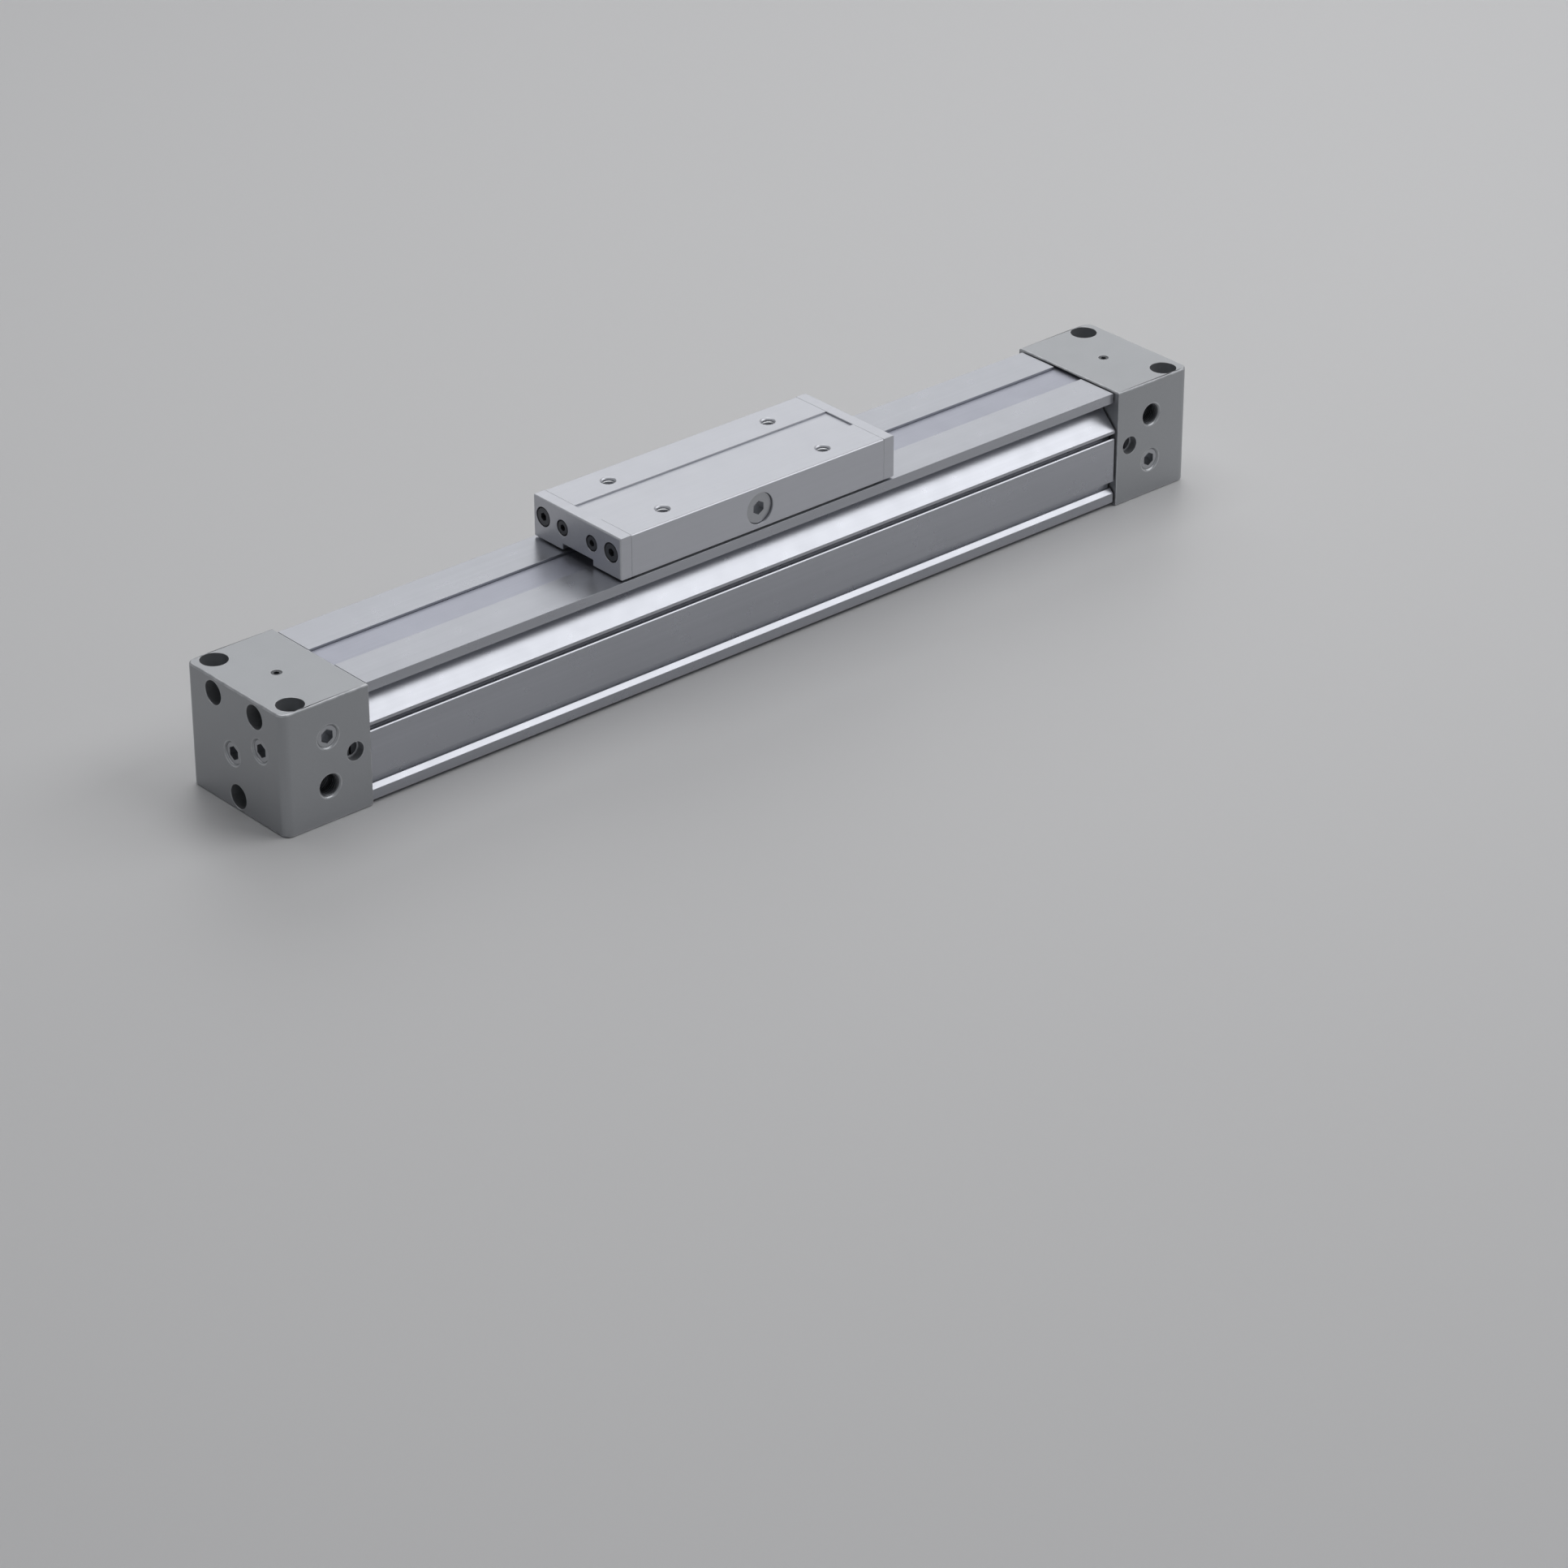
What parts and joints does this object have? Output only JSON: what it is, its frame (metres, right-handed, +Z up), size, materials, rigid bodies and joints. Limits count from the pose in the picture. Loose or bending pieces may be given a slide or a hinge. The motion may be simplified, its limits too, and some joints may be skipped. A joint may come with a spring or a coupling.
{
  "type": "rodless pneumatic slide table",
  "caption": "Long slotted barrel between two square head covers, with a flat table that slides along it on a piston coupled through the slot; steel band covers the slot.",
  "frame": {"origin": "Mid length and mid width of the cylinder, on the plane that both head covers stand on.", "axes": "+X along the stroke from the near head cover to the far one, +Y across to the back, +Z up. The cushion needles and the open ports face -Y."},
  "size_m": [0.453, 0.058, 0.0672],
  "materials": {
    "cover_paint": "matte grey paint on a casting",
    "barrel_anodised": "clear anodised, fine extrusion lines",
    "table_anodised": "clear anodised, fine milling",
    "band_stainless": "rolled bright strip",
    "screw_steel": "zinc plated, slightly dull",
    "plug_steel": "bright zinc plate",
    "inner_steel": "ground",
    "needle_brass": "turned",
    "machined_aluminium": "as machined",
    "band_urethane": "smooth urethane",
    "acetal": "natural acetal",
    "wear_plastic": "dark filled plastic",
    "seal_rubber": "smooth nitrile",
    "magnet_plate": "nickel plated"
  },
  "bodies": {
    "cylinder": {"barrel": "barrel_anodised", "near_head_cover": "cover_paint", "far_head_cover": "cover_paint", "near_cover_gasket": "seal_rubber", "far_cover_gasket": "seal_rubber", "cover_screws": "screw_steel", "inner_seal_band": "band_urethane", "outer_seal_band": "band_stainless", "near_band_clamp": "inner_steel", "far_band_clamp": "inner_steel", "band_clamp_screws": "screw_steel", "near_cushion_boss": "needle_brass", "far_cushion_boss": "needle_brass", "near_bumper": "wear_plastic", "far_bumper": "wear_plastic", "side_port_plugs": "plug_steel", "end_port_plugs": "plug_steel", "near_needle_seal": "seal_rubber", "far_needle_seal": "seal_rubber"},
    "table": {"slide_table": "table_anodised", "table_top_cover": "band_stainless", "near_end_plate": "table_anodised", "far_end_plate": "table_anodised", "end_plate_screws": "screw_steel", "scraper_screws": "screw_steel", "near_band_scraper": "seal_rubber", "far_band_scraper": "seal_rubber", "front_bearing_strip": "acetal", "back_bearing_strip": "acetal", "near_band_presser": "wear_plastic", "far_band_presser": "wear_plastic", "roller_shafts": "inner_steel", "piston_yoke": "machined_aluminium", "coupling_screws": "plug_steel", "slot_guides": "acetal", "near_band_separator": "acetal", "far_band_separator": "acetal", "near_piston": "machined_aluminium", "far_piston": "machined_aluminium", "piston_pins": "inner_steel", "piston_magnets": "magnet_plate", "near_piston_seal": "seal_rubber", "far_piston_seal": "seal_rubber", "near_wear_ring": "wear_plastic", "far_wear_ring": "wear_plastic", "near_cushion_seal": "seal_rubber", "far_cushion_seal": "seal_rubber"},
    "near_needle": {"near_cushion_needle": "plug_steel"},
    "far_needle": {"far_cushion_needle": "plug_steel"},
    "near_roller": {"near_guide_roller": "acetal"},
    "far_roller": {"far_guide_roller": "acetal"}
  },
  "joints": [
    {"name": "table_slide", "type": "slide", "parent": "cylinder", "child": "table", "axis": [1, 0, 0], "range_m": [-0.1012, 0.0988], "deforming": ["inner_seal_band", "outer_seal_band"]},
    {"name": "near_needle_turn", "type": "hinge", "parent": "cylinder", "child": "near_needle", "pos_m": [-0.1945, -0.0255, 0.025], "axis": [0, -1, 0], "range_deg": [-540, 540]},
    {"name": "far_needle_turn", "type": "hinge", "parent": "cylinder", "child": "far_needle", "pos_m": [0.1945, -0.0255, 0.025], "axis": [0, -1, 0], "range_deg": [-540, 540]},
    {"name": "near_roller_spin", "type": "hinge", "parent": "table", "child": "near_roller", "pos_m": [-0.0553, 0, 0.0508], "axis": [0, 1, 0], "continuous": true},
    {"name": "far_roller_spin", "type": "hinge", "parent": "table", "child": "far_roller", "pos_m": [0.0577, 0, 0.0508], "axis": [0, 1, 0], "continuous": true}
  ]
}
